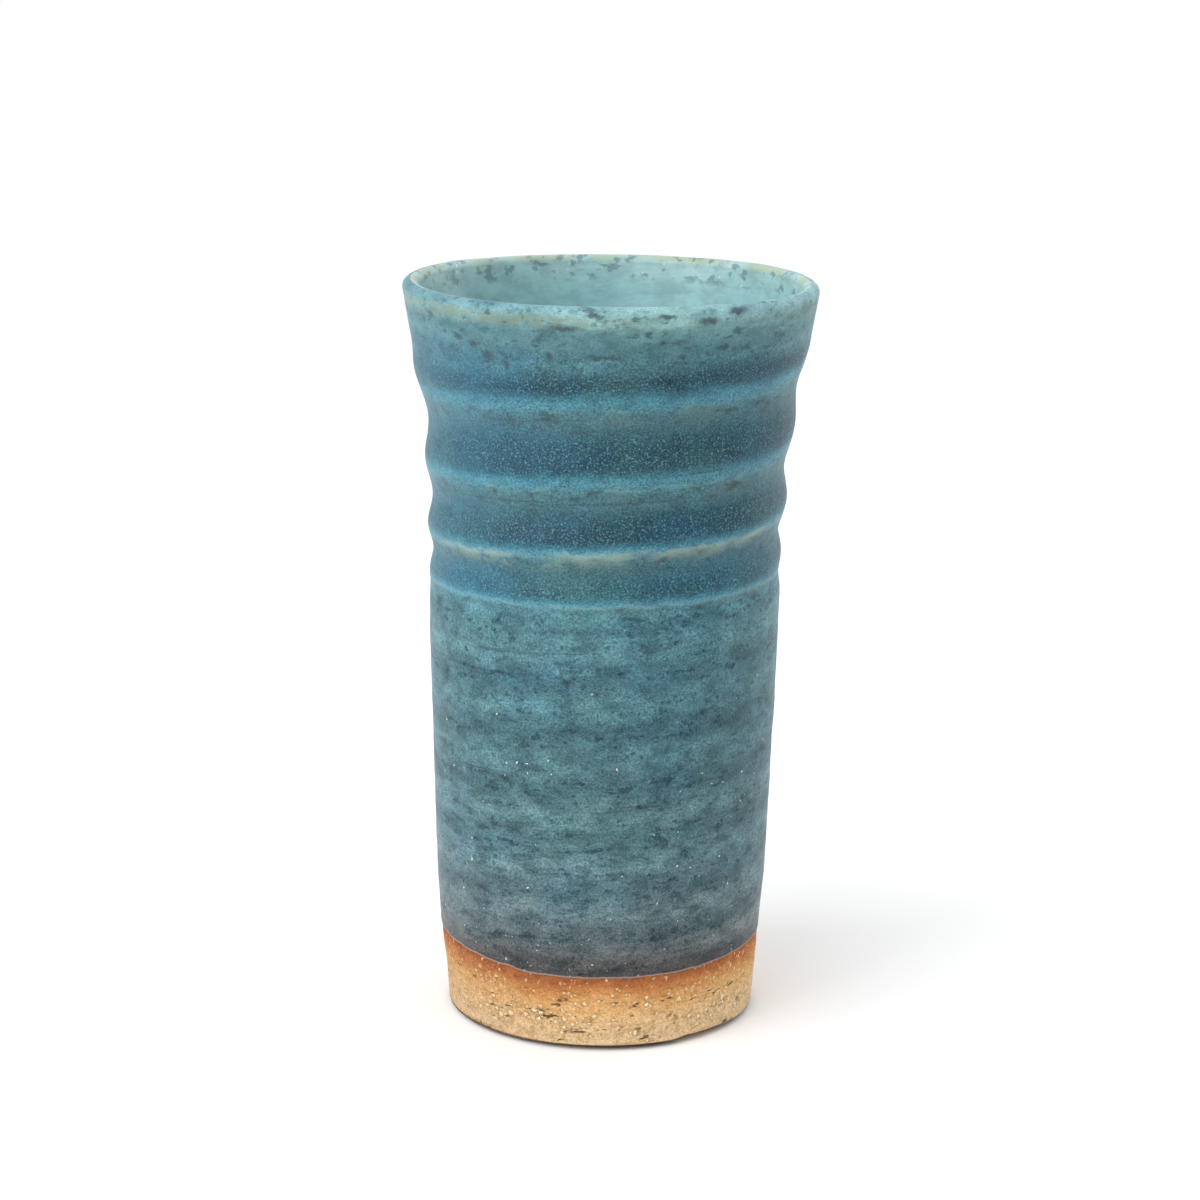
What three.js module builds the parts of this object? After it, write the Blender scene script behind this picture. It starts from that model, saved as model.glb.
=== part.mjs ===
// Tall sake cup, thrown on a wheel from one lump of stoneware clay and glazed twice.
// Three solids: the fired clay body, the glaze coat fused to its outside from the lip down to a
// line above the bare foot, and the glaze lining fused to its inside.
// Millimetres, +Z up, origin on the table under the middle of the foot, front of the cup towards -Y.
import * as THREE from "three";

// Outside of the clay wall: heights from the table, drops down from the crest of the lip.
// The glaze line's height is at the front, and it rises by its tilt towards the back.
const cupHeight = 120;
const footRadius = 25.25;
const glazeLineRadius = 26;
const glazeLineHeight = 12;
const glazeLineTilt = 3.2;
const lowerWallRadius = 26.7;
const lowerWallHeight = 32;
const bellyRadius = 27.75;
const bellyDrop = 53;
const waistRadius = 27.55;
const waistDrop = 42;
const neckRadius = 28.95;
const neckDrop = 20.5;
const shoulderRadius = 30.85;
const shoulderDrop = 11;
const lipRadius = 32.55;

// Thicknesses of clay and glaze.
const lipClayThickness = 1.6;
const wallClayThickness = 3.6;
const floorHeight = 6;
const floorCornerRadius = 9;
const glazeThickness = 0.5;
const glazeToeHeight = 1.2;

// Foot: a flat ring to stand on, round a shallow turned recess.
const footBevel = 0.9;
const footRingWidth = 6.5;
const recessDepth = 1.8;
const recessSlopeWidth = 2.2;

// Throwing ridge: the fingers' spiral, rising to the right across the front and opening upwards.
const ridgeHeight = 0.45;
const spiralStartDrop = 45.5;
const spiralPitch = 7;
const spiralPitchGrowth = 1.5;
const ridgeFadeInDrop = 52;
const ridgeFullBelowDrop = 38;
const ridgeFullAboveDrop = 16;
const ridgeFadeOutDrop = 6;

// Fineness of the facets.
const segments = 40;
const arcSteps = 3;

const glazeColour = "#5b8791";
const liningColour = "#7fabb0";
const clayColour = "#d7ab74";
const glazeRoughness = 0.5;
const clayRoughness = 0.9;

// Height of the middle of the lip's round, which the clay and both glazes share.
const lipArcRadius = lipClayThickness / 2;
const lipCentreHeight = cupHeight - glazeThickness - lipArcRadius;
const lipCentreRadius = lipRadius - lipArcRadius;

// Stations up the wall; rows is the number of facet rows from one station to the next.
const wallStations = [
  { radius: footRadius, height: footBevel, rows: 3 },
  { radius: glazeLineRadius, height: glazeLineHeight, rows: 3 },
  { radius: lowerWallRadius, height: lowerWallHeight, rows: 4 },
  { radius: bellyRadius, height: cupHeight - bellyDrop, rows: 5 },
  { radius: waistRadius, height: cupHeight - waistDrop, rows: 10 },
  { radius: neckRadius, height: cupHeight - neckDrop, rows: 5 },
  { radius: shoulderRadius, height: cupHeight - shoulderDrop, rows: 4 },
  { radius: lipRadius, height: lipCentreHeight, rows: 0 },
];
const glazeLineStation = 1;

// A profile point: radius and height, and whether it lies on the outside wall, which was thrown by hand.
function profilePoint(r, z, thrown = false) {
  return { r, z, thrown };
}

// Smooth curve through stations, as profile points from the first station to the last.
function curveThrough(stations, thrown) {
  const spline = new THREE.SplineCurve(
    stations.map((s) => new THREE.Vector2(s.radius, s.height)),
  );
  const spans = stations.length - 1;
  const points = [];
  for (let span = 0; span < spans; span++) {
    for (let row = 0; row < stations[span].rows; row++) {
      const at = spline.getPoint((span + row / stations[span].rows) / spans);
      points.push(profilePoint(at.x, at.y, thrown));
    }
  }
  const last = stations[spans];
  points.push(profilePoint(last.radius, last.height, thrown));
  return points;
}

// Points of an arc after its start and up to its end, angles in degrees from straight outwards.
function arc(centreR, centreZ, radius, fromDegrees, toDegrees) {
  const points = [];
  for (let step = 1; step <= arcSteps; step++) {
    const angle = THREE.MathUtils.degToRad(
      THREE.MathUtils.lerp(fromDegrees, toDegrees, step / arcSteps),
    );
    points.push(
      profilePoint(centreR + radius * Math.cos(angle), centreZ + radius * Math.sin(angle)),
    );
  }
  return points;
}

// Thickness of the clay wall at a height: thin at the lip, thicker towards the floor.
function clayThicknessAt(height) {
  const share = (height - floorHeight) / (lipCentreHeight - floorHeight);
  return THREE.MathUtils.lerp(wallClayThickness, lipClayThickness, share);
}

// How far the throwing ridge pushes the wall out; the angle is from the front, positive to the right.
function ridgeAt(height, angle) {
  const start = cupHeight - spiralStartDrop;
  const rise = spiralPitch ** 2 + 4 * spiralPitchGrowth * (height - start);
  const turnsAtFront = (Math.sqrt(Math.max(rise, 0)) - spiralPitch) / (2 * spiralPitchGrowth);
  const turns = turnsAtFront - angle / (2 * Math.PI);
  const fadeIn = THREE.MathUtils.smoothstep(
    height,
    cupHeight - ridgeFadeInDrop,
    cupHeight - ridgeFullBelowDrop,
  );
  const fadeOut = THREE.MathUtils.smoothstep(
    height,
    cupHeight - ridgeFullAboveDrop,
    cupHeight - ridgeFadeOutDrop,
  );
  return ridgeHeight * fadeIn * (1 - fadeOut) * Math.cos(2 * Math.PI * turns);
}

// How far the glaze was dipped short of the front's line, fading out up the wall and down the foot.
function glazeTiltAt(height, angle) {
  const fade = height < glazeLineHeight
    ? (height - footBevel) / (glazeLineHeight - footBevel)
    : (lowerWallHeight - height) / (lowerWallHeight - glazeLineHeight);
  return (glazeLineTilt / 2) * (1 - Math.cos(angle)) * Math.max(fade, 0);
}

// Turns a profile round +Z, raises the throwing ridge and tilts the glaze line. Each facet is split
// along the same diagonal whichever way the profile runs, so that two solids that share a wall match.
function turnProfile(profile) {
  const rows = profile.length;
  const outline = profile.map((p) => new THREE.Vector2(p.r, p.z));
  const geometry = new THREE.LatheGeometry(outline, segments);
  geometry.rotateX(Math.PI / 2);
  const position = geometry.getAttribute("position");
  for (let i = 0; i < position.count; i++) {
    const point = profile[i % rows];
    if (!point.thrown) continue;
    const angle = Math.atan2(position.getX(i), -position.getY(i));
    const scale = 1 + ridgeAt(point.z, angle) / point.r;
    position.setXYZ(
      i,
      position.getX(i) * scale,
      position.getY(i) * scale,
      point.z + glazeTiltAt(point.z, angle),
    );
  }
  const triangles = [];
  for (let column = 0; column < segments; column++) {
    for (let row = 0; row < rows - 1; row++) {
      const here = column * rows + row;
      const next = here + rows;
      if (profile[row + 1].z < profile[row].z) {
        triangles.push(here, next, next + 1, here, next + 1, here + 1);
      } else {
        triangles.push(here, next, here + 1, next + 1, here + 1, next);
      }
    }
  }
  geometry.setIndex(triangles);
  geometry.computeVertexNormals();
  return geometry;
}

// The clay's outside wall from the foot's bevel to the lip, shared by the body and its glaze coat.
const outsideWall = curveThrough(wallStations, true);
const firstGlazedRow = wallStations
  .slice(0, glazeLineStation)
  .reduce((rows, station) => rows + station.rows, 0);
const glazedWall = outsideWall.slice(firstGlazedRow);

// The clay's inside wall from the lip down, round the corner and across the floor to the axis.
const cornerHeight = floorHeight + floorCornerRadius;
const insideStations = [
  ...wallStations.slice(glazeLineStation + 1).reverse().map(({ radius, height }) => ({
    radius: radius - clayThicknessAt(height),
    height,
    rows: 3,
  })),
  {
    radius: glazeLineRadius - clayThicknessAt(cornerHeight),
    height: cornerHeight,
    rows: 0,
  },
];
const insideWall = curveThrough(insideStations, false);
const cornerCentreRadius = insideStations.at(-1).radius - floorCornerRadius;

// The lip's round over the top, outwards to inwards, of a given radius.
function lipArc(radius, fromDegrees, toDegrees) {
  return arc(lipCentreRadius, lipCentreHeight, radius, fromDegrees, toDegrees);
}

// The floor's corner down to the flat floor, of a given radius about the corner's centre.
function cornerArc(radius) {
  return arc(cornerCentreRadius, cornerHeight, radius, 0, -90);
}

// Radius of the clay's outside at a height between two of its rows.
function outsideRadiusAt(height) {
  const above = outsideWall.findIndex((p) => p.z > height);
  const [low, high] = [outsideWall[above - 1], outsideWall[above]];
  return THREE.MathUtils.lerp(low.r, high.r, (height - low.z) / (high.z - low.z));
}

// Fired clay: recessed underside, foot ring, bevel, outside wall, lip, inside wall and floor.
function clayBodyProfile() {
  const ringOuterRadius = footRadius - footBevel;
  const ringInnerRadius = ringOuterRadius - footRingWidth;
  return [
    profilePoint(0, recessDepth),
    profilePoint(ringInnerRadius - recessSlopeWidth, recessDepth),
    profilePoint(ringInnerRadius, 0),
    profilePoint(ringOuterRadius, 0),
    ...outsideWall,
    ...lipArc(lipArcRadius, 0, 90),
    ...lipArc(lipArcRadius, 90, 180).slice(0, -1),
    ...insideWall,
    ...cornerArc(floorCornerRadius),
    profilePoint(0, floorHeight),
  ];
}

// Glaze coat: round toe at the glaze line, outer face, over the lip to its crest, back down the clay.
function glazeCoatProfile() {
  const toeTop = glazeLineHeight + glazeToeHeight;
  const toeStart = glazedWall[0];
  const toeEndRadius = outsideRadiusAt(toeTop) + glazeThickness;
  const toe = [];
  for (let step = 1; step <= arcSteps; step++) {
    const angle = (Math.PI / 2) * (step / arcSteps);
    toe.push(
      profilePoint(
        THREE.MathUtils.lerp(toeStart.r, toeEndRadius, Math.sin(angle)),
        glazeLineHeight + glazeToeHeight * (1 - Math.cos(angle)),
        true,
      ),
    );
  }
  const face = glazedWall
    .filter((p) => p.z > toeTop)
    .map((p) => profilePoint(p.r + glazeThickness, p.z, true));
  return [
    toeStart,
    ...toe,
    ...face,
    ...lipArc(lipArcRadius + glazeThickness, 0, 90),
    ...lipArc(lipArcRadius, 0, 90).reverse(),
    ...glazedWall.toReversed(),
  ];
}

// Glaze lining: from the lip's crest down the clay to the floor, and back up its own inner face.
function glazeLiningProfile() {
  const face = insideWall.map((p) => profilePoint(p.r - glazeThickness, p.z));
  const innerFace = [
    ...lipArc(lipArcRadius + glazeThickness, 90, 180).slice(0, -1),
    ...face,
    ...cornerArc(floorCornerRadius - glazeThickness),
    profilePoint(0, floorHeight + glazeThickness),
  ];
  const crest = lipCentreHeight + lipArcRadius;
  const claySide = [
    profilePoint(lipCentreRadius, crest),
    ...lipArc(lipArcRadius, 90, 180).slice(0, -1),
    ...insideWall,
    ...cornerArc(floorCornerRadius),
    profilePoint(0, floorHeight),
  ];
  return [
    ...claySide.reverse(),
    profilePoint(lipCentreRadius, crest + glazeThickness),
    ...innerFace,
  ];
}

// One named solid in its own finish.
function piece(name, profile, colour, roughness) {
  const material = new THREE.MeshStandardMaterial({ color: colour, roughness, metalness: 0 });
  const mesh = new THREE.Mesh(turnProfile(profile), material);
  mesh.name = name;
  return mesh;
}

const cup = new THREE.Group();
cup.name = "sake_cup";
cup.add(
  piece("clay_body", clayBodyProfile(), clayColour, clayRoughness),
  piece("glaze_coat", glazeCoatProfile(), glazeColour, glazeRoughness),
  piece("glaze_lining", glazeLiningProfile(), liningColour, glazeRoughness),
);

export default cup;
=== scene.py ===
"""Tall wheel-thrown sake cup: bare stoneware body, glaze lining and glaze coat, on a white table."""
import math
from functools import lru_cache

import bmesh
import bpy
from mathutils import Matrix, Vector, noise


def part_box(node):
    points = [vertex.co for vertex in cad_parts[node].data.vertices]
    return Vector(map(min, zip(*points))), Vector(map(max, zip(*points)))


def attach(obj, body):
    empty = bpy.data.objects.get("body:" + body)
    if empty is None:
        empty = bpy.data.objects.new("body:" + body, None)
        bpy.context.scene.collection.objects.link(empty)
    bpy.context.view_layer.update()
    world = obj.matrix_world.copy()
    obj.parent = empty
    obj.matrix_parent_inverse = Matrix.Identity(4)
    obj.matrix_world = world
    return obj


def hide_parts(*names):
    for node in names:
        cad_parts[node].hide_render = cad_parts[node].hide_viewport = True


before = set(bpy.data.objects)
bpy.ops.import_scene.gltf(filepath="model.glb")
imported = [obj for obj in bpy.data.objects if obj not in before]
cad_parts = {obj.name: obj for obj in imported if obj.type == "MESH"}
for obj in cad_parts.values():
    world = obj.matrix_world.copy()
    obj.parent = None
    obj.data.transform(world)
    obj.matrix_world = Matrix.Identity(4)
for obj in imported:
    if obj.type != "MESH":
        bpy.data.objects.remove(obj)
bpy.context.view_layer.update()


# Clay body: one lump of coarse, sandy stoneware, thrown on a wheel, trimmed at the foot and fired.
# Only the foot and the underside stay bare; the glazes are fused to all the rest of it.
# The fingers left one long spiral ridge round the upper wall.
mm = 0.001
clay_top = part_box("clay_body")[1]
coat_low, coat_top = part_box("glaze_coat")
floor_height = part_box("glaze_lining")[0].z
glaze_thickness = coat_top.x - clay_top.x
glaze_line = coat_low.z
lip_clay_thickness = 1.6 * mm
wall_clay_thickness = 3.6 * mm
lip_arc_radius = lip_clay_thickness / 2
lip_centre_height = clay_top.z - lip_arc_radius
lip_centre_radius = clay_top.x - lip_arc_radius
foot_radius = 25.25 * mm
foot_gap_height = 0.78 * mm
foot_gap_width = 4 * mm
foot_edge_round = 0.35 * mm
foot_edge_height = foot_gap_height + foot_edge_round
foot_ring_width = 3.8 * mm
recess_depth = 1.8 * mm
recess_slope_width = 2.2 * mm
floor_corner_radius = 9 * mm
wedges, wedge_steps = 22, 20

# Outside of the clay, as heights and radii from the foot's edge to the lip.
wall_stations = [
    (foot_edge_height, foot_radius),
    (glaze_line, 26.0 * mm),
    (32 * mm, 26.7 * mm),
    (67 * mm, 27.75 * mm),
    (78 * mm, 27.55 * mm),
    (99.5 * mm, 28.95 * mm),
    (109 * mm, 30.85 * mm),
    (lip_centre_height, clay_top.x),
]


@lru_cache(None)
def wall_radius(height):
    """Radius of the clay's outside at a height, on a smooth curve through the stations."""
    last = len(wall_stations) - 1

    def slope(i):
        (low, inner), (high, outer) = wall_stations[max(i - 1, 0)], wall_stations[min(i + 1, last)]
        return (outer - inner) / (high - low)

    span = sum(height > station[0] for station in wall_stations[1:last])
    (low, inner), (high, outer) = wall_stations[span], wall_stations[span + 1]
    length = high - low
    t = min(max((height - low) / length, 0), 1)
    return (
        inner * (1 + 2 * t) * (1 - t) ** 2
        + outer * t * t * (3 - 2 * t)
        + slope(span) * length * t * (1 - t) ** 2
        - slope(span + 1) * length * t * t * (1 - t)
    )


@lru_cache(None)
def clay_thickness(height):
    """Thickness of the clay wall at a height: thin at the lip, thicker towards the floor."""
    share = (height - floor_height) / (lip_centre_height - floor_height)
    return wall_clay_thickness + (lip_clay_thickness - wall_clay_thickness) * min(max(share, 0), 1)


def ease(value, start, end):
    """0 before start, 1 after end, with a smooth step between them."""
    t = min(max((value - start) / (end - start), 0), 1)
    return t * t * (3 - 2 * t)


@lru_cache(None)
def turns_at_front(height):
    """Turns of the fingers' spiral up to a height at the front, closer together low down."""
    start, pitch, growth = 74.5 * mm, 7 * mm, 1.5 * mm
    rise = pitch ** 2 + 4 * growth * (height - start)
    return (math.sqrt(max(rise, 0)) - pitch) / (2 * growth)


def ridge_turns(height, angle):
    """Turns of the spiral at any angle; a whole number is the crest of the ridge."""
    return turns_at_front(height) - angle / math.tau


def low_band(height, angle):
    """1 to -1 over the faint, even turns of the spiral on the lower wall; -1 is the bottom of a groove."""
    groove_height, pitch = 27 * mm, 8.6 * mm
    return -math.cos(math.tau * (height - groove_height) / pitch - angle)


@lru_cache(None)
def ridge_height(height):
    """How high the ridge stands at a height: it fades in above the belly and out under the lip."""
    full_height = 0.47 * mm
    return full_height * ease(height, 68 * mm, 82 * mm) * (1 - ease(height, 104 * mm, 114 * mm))


def ridge(height, angle):
    """How far the spiral ridge pushes the outside of the wall out."""
    return ridge_height(height) * math.cos(math.tau * ridge_turns(height, angle))


def glaze_line_shift(angle):
    """How far the edge of the dipped glaze lies above the glaze line: tilted, with a step on the left."""
    tilt_height, step_height, swell_height = 1.6 * mm, 0.6 * mm, 0.5 * mm
    broad_ripple, fine_ripple = 0.22 * mm, 0.1 * mm
    step_start, step_end = (-2.6, -1.0), (-0.62, -0.48)
    swell_middle = 0.5
    tilt = tilt_height * (1 - math.cos(angle))
    step = step_height * (1 - ease(angle, *step_end)) * ease(angle, *step_start)
    swell = swell_height * ease(math.cos(angle - swell_middle), 0.3, 1)
    round_cup = Vector((math.sin(angle), math.cos(angle), 0))
    ripple = broad_ripple * noise.noise(round_cup * 7) + fine_ripple * noise.noise(round_cup * 26)
    return tilt + step + swell + ripple


# How far the hands and the trimming tool left the cup from a true turned shape.
trimming_depth = 0.35 * mm
lip_oval = 0.12 * mm
lip_wave = 0.1 * mm
foot_offset = 0.33 * mm
inside_ridge_share = 0.3


def hand_thrown(point):
    """Moves a point of the true turned shape to where the potter's hands left it."""
    angle = math.atan2(point.x, -point.y)
    height = point.z
    radius = math.hypot(point.x, point.y)
    if radius < 1 * mm:
        return point.copy()
    off_floor = ease(radius, 15 * mm, 19 * mm)
    on_wall = ease(height, 1.5 * mm, 4 * mm) * off_floor
    outside = radius > wall_radius(height) - clay_thickness(height) / 2
    round_cup = Vector((math.sin(angle), -math.cos(angle), 0))
    fine_lines = 0.022 * mm * noise.noise(round_cup * 0.9 + Vector((0, 0, height / (1.1 * mm))))
    broad_lines = 0.05 * mm * noise.noise(round_cup * 0.5 + Vector((5, 0, height / (3.4 * mm))))
    lumps = 0.06 * mm * noise.noise(point / (6 * mm))
    pimples = 0.025 * mm * noise.noise(point / (1.6 * mm))
    push = (fine_lines + broad_lines + lumps + pimples) * on_wall
    push += ridge(height, angle) * (1 if outside else inside_ridge_share)
    trimmed = ease(-math.sin(angle), 0.2, 0.9) * (1 - ease(height, 6 * mm, 11.5 * mm)) * off_floor
    push -= trimming_depth * trimmed
    lip = ease(height, 105 * mm, 119 * mm)
    push += lip_oval * lip * math.sin(2 * angle + 0.6)
    moved = point + round_cup * push
    moved.x -= foot_offset * (1 - ease(height, 70 * mm, 106 * mm))
    moved.z += lip_wave * lip * (math.sin(3 * angle + 1.1) + noise.noise(round_cup * 4) - 0.7)
    return moved


def steps_between(start, end, count):
    """Evenly spaced values after start, up to end."""
    return [start + (end - start) * i / count for i in range(1, count + 1)]


def arc(centre_radius, centre_height, radius, first_degrees, last_degrees, count):
    """Profile points of an arc after its first point, angles from straight outwards."""
    angles = [math.radians(a) for a in steps_between(first_degrees, last_degrees, count)]
    return [(centre_radius + radius * math.cos(a), centre_height + radius * math.sin(a)) for a in angles]


def straight(start, end, count):
    """Profile points of a straight line after its start."""
    radii = steps_between(start[0], end[0], count)
    heights = steps_between(start[1], end[1], count)
    return list(zip(radii, heights))


def turn(profile, closed):
    """A bmesh turned on the wheel's axis from a profile of radii and heights: one wedge, then copies."""
    shape = bmesh.new()
    corners = [shape.verts.new((radius, 0, height)) for radius, height in profile]
    for first, second in zip(corners, corners[1:]):
        shape.edges.new((first, second))
    if closed:
        shape.edges.new((corners[-1], corners[0]))
    wheel = {"cent": (0, 0, 0), "axis": (0, 0, 1)}
    outline = shape.verts[:] + shape.edges[:]
    bmesh.ops.spin(shape, geom=outline, angle=math.tau / wedges, steps=wedge_steps, **wheel)
    wedge = shape.verts[:] + shape.edges[:] + shape.faces[:]
    rest_of_turn = math.tau * (wedges - 1) / wedges
    bmesh.ops.spin(shape, geom=wedge, angle=rest_of_turn, steps=wedges - 1, use_duplicate=True, **wheel)
    bmesh.ops.remove_doubles(shape, verts=shape.verts[:], dist=0.0005 * mm)
    bmesh.ops.recalc_face_normals(shape, faces=shape.faces[:])
    return shape


def finish_piece(shape, name, node, material):
    """Makes the bmesh a smooth piece that stands for its CAD node."""
    mesh = bpy.data.meshes.new(name)
    shape.to_mesh(mesh)
    shape.free()
    mesh.shade_smooth()
    mesh.materials.append(material)
    piece = bpy.data.objects.new(name, mesh)
    bpy.context.scene.collection.objects.link(piece)
    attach(piece, "root")
    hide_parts(node)


# The clay's inside: down from the lip, round the corner and across the floor.
corner_height = floor_height + floor_corner_radius
corner_radius = wall_radius(corner_height) - clay_thickness(corner_height)
corner_centre = corner_radius - floor_corner_radius


def inside_wall(offset, rows):
    """Profile points down the inside of the clay, moved inwards by offset, after the lip."""
    heights = steps_between(lip_centre_height, corner_height, rows)
    return [(wall_radius(z) - clay_thickness(z) - offset, z) for z in heights]


def lip_arc(offset, first_degrees, last_degrees, count):
    """Profile points over the lip, standing off the clay by offset."""
    radius = lip_arc_radius + offset
    return arc(lip_centre_radius, lip_centre_height, radius, first_degrees, last_degrees, count)


foot_ring_outer = foot_radius - foot_gap_width
foot_edge_centre = foot_radius - foot_edge_round
foot_ring_inner = foot_ring_outer - foot_ring_width
recess_edge = (foot_ring_inner - recess_slope_width, recess_depth)
bare_top = glaze_line + 6 * mm
clay_profile = [(0, recess_depth)]
clay_profile += straight((0, recess_depth), recess_edge, 24)
clay_profile += straight(recess_edge, (foot_ring_inner, 0), 6)
clay_profile += straight((foot_ring_inner, 0), (foot_ring_outer, 0), 12)
clay_profile += straight((foot_ring_outer, 0), (foot_edge_centre, foot_gap_height), 8)
clay_profile += arc(foot_edge_centre, foot_edge_height, foot_edge_round, -90, 0, 6)
clay_profile += [(wall_radius(z), z) for z in steps_between(foot_edge_height, bare_top, 54)]
clay_profile += [(wall_radius(z), z) for z in steps_between(bare_top, lip_centre_height, 50)]
clay_profile += lip_arc(0, 0, 180, 8)
clay_profile += inside_wall(0, 24)
clay_profile += arc(corner_centre, corner_height, floor_corner_radius, 0, -90, 8)
clay_profile += straight((corner_centre, floor_height), (0, floor_height), 4)

# The trimming tool left marks in the recess. While the clay was wet, the edge of the foot was lifted at
# the front right and sagged on the left.
clay = turn(clay_profile, closed=False)
tool_mark_depth = 0.12 * mm
tool_mark_pitch = 0.55 * mm * math.tau
lifted_height, sagged_height = 0.6 * mm, 0.4 * mm
below_glaze = clay.verts.layers.float.new("below_glaze")
for corner in clay.verts:
    angle = math.atan2(corner.co.x, -corner.co.y)
    radius = math.hypot(corner.co.x, corner.co.y)
    height = corner.co.z
    corner[below_glaze] = (glaze_line + glaze_line_shift(angle) - height) / mm
    if height < recess_depth + 0.1 * mm and radius < foot_ring_inner:
        tool_marks = math.sin(math.tau * radius / tool_mark_pitch + angle) * ease(radius, 2 * mm, 5 * mm)
        corner.co.z += tool_mark_depth * tool_marks
    beyond_ring = ease(radius, foot_ring_outer - 0.5 * mm, foot_ring_outer)
    lifted = ease(angle, 0.48, 0.6) * (1 - ease(angle, 0.75, 1.25)) * (1 - ease(height, 0, 2.2 * mm))
    sagged = ease(-math.sin(angle), 0.1, 0.8) * (1 - ease(height, 0, 4 * mm))
    sagged *= ease(height, 0, foot_gap_height)
    moved = hand_thrown(corner.co)
    moved.z = max(moved.z - sagged_height * sagged, 0) + lifted_height * lifted * beyond_ring
    corner.co = moved


def linear(hex_colour):
    """A colour written as web hex, as the linear values that a shader takes."""
    parts = [int(hex_colour[i:i + 2], 16) / 255 for i in (1, 3, 5)]
    return [p / 12.92 if p <= 0.04045 else ((p + 0.055) / 1.055) ** 2.4 for p in parts] + [1]


def plug(tree, socket, value):
    """Sets a socket to a value, or links it to another node's output."""
    if isinstance(value, bpy.types.NodeSocket):
        tree.links.new(value, socket)
    elif isinstance(value, str):
        socket.default_value = linear(value)
    else:
        socket.default_value = value


def add(tree, kind, settings=None, **inputs):
    """Adds a shader node. An input is a value or another node's output; _ stands for a space."""
    new = tree.nodes.new(kind)
    for name, value in (settings or {}).items():
        setattr(new, name, value)
    for name, value in inputs.items():
        plug(tree, new.inputs[name.replace("_", " ")], value)
    return new


def calc(tree, operation, *values, kind="ShaderNodeMath"):
    """Output of a Math or Vector Math node of that operation on one to three values."""
    new = add(tree, kind, {"operation": operation})
    for socket, value in zip(new.inputs, values):
        plug(tree, socket, value)
    return new.outputs[0]


def product(tree, *values):
    """All values multiplied together."""
    result = values[0]
    for value in values[1:]:
        result = calc(tree, "MULTIPLY", result, value)
    return result


def between(tree, value, start, end, shape="SMOOTHSTEP"):
    """0 to 1 as the value goes from start to end."""
    settings = {"interpolation_type": shape}
    spread = add(tree, "ShaderNodeMapRange", settings, Value=value, From_Min=start, From_Max=end)
    return spread.outputs["Result"]


def within(tree, value, start, full, fade, end):
    """1 while the value goes from full to fade, easing up from 0 at start and back to 0 at end."""
    return product(tree, between(tree, value, start, full), between(tree, value, end, fade))


def level(tree, mask, low, high):
    """A level that goes from low, where the mask is 0, to high, where it is 1."""
    return calc(tree, "MULTIPLY_ADD", mask, high - low, low)


def tint(tree, share, under, over, mode="MIX"):
    """Colour of under with over laid on it by a share."""
    new = add(tree, "ShaderNodeMix", {"data_type": "RGBA", "blend_type": mode})
    factor, colour_a, colour_b, colour_result = 0, 6, 7, 2
    plug(tree, new.inputs[factor], share)
    plug(tree, new.inputs[colour_a], under)
    plug(tree, new.inputs[colour_b], over)
    return new.outputs[colour_result]


def speckle(tree, colour, pattern, dark_at, pale_at, share, shade, pale):
    """Colour with a shade where the pattern falls to dark_at, and paler where it rises to pale_at."""
    middle = 0.5
    dark = product(tree, between(tree, pattern, middle, dark_at, "LINEAR"), share)
    colour = tint(tree, dark, colour, shade, "MULTIPLY")
    light = product(tree, between(tree, pattern, middle, pale_at, "LINEAR"), share)
    return tint(tree, light, colour, pale, "DODGE")


def ramp(tree, value, stops):
    """Colour read from stops of position and web hex."""
    new = add(tree, "ShaderNodeValToRGB", Fac=value)
    elements = new.color_ramp.elements
    while len(elements) < len(stops):
        elements.new(1)
    for element, (position, colour) in zip(elements, stops):
        element.position = position
        element.color = linear(colour)
    return new.outputs["Color"]


def object_place(tree):
    """Where a point lies on the cup, in metres."""
    return add(tree, "ShaderNodeTexCoord").outputs["Object"]


def clouds(tree, size, flatten=1, detail=2, roughness=0.5, shift=0):
    """Noise with features of a size round the cup, flattened in height and rising to the right as the
    spiral does; a shift gives another pattern."""
    spiral_rise = math.radians(3)
    drawn_out = add(
        tree,
        "ShaderNodeMapping",
        {"vector_type": "TEXTURE"},
        Vector=object_place(tree),
        Rotation=(0, -spiral_rise, 0),
        Scale=(size, size, size / flatten),
    )
    pattern = add(
        tree,
        "ShaderNodeTexNoise",
        {"noise_dimensions": "4D"},
        Vector=drawn_out.outputs["Vector"],
        W=shift,
        Scale=1,
        Detail=detail,
        Roughness=roughness,
    )
    return pattern.outputs["Fac"]


def attribute(tree, name, output="Fac"):
    """Value that the mesh carries under that name."""
    return add(tree, "ShaderNodeAttribute", {"attribute_name": name}).outputs[output]


def new_group(name, inputs, outputs):
    """An empty node group with float inputs and outputs, and its two end nodes."""
    tree = bpy.data.node_groups.new(name, "ShaderNodeTree")
    for socket in inputs:
        tree.interface.new_socket(socket, in_out="INPUT", socket_type="NodeSocketFloat")
    for socket in outputs:
        tree.interface.new_socket(socket, in_out="OUTPUT", socket_type="NodeSocketFloat")
    return tree, tree.nodes.new("NodeGroupInput").outputs, tree.nodes.new("NodeGroupOutput").inputs


def place_group(tree, group, **inputs):
    """Puts a node group into a material with its own values."""
    return add(tree, "ShaderNodeGroup", {"node_tree": group}, **inputs).outputs


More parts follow.
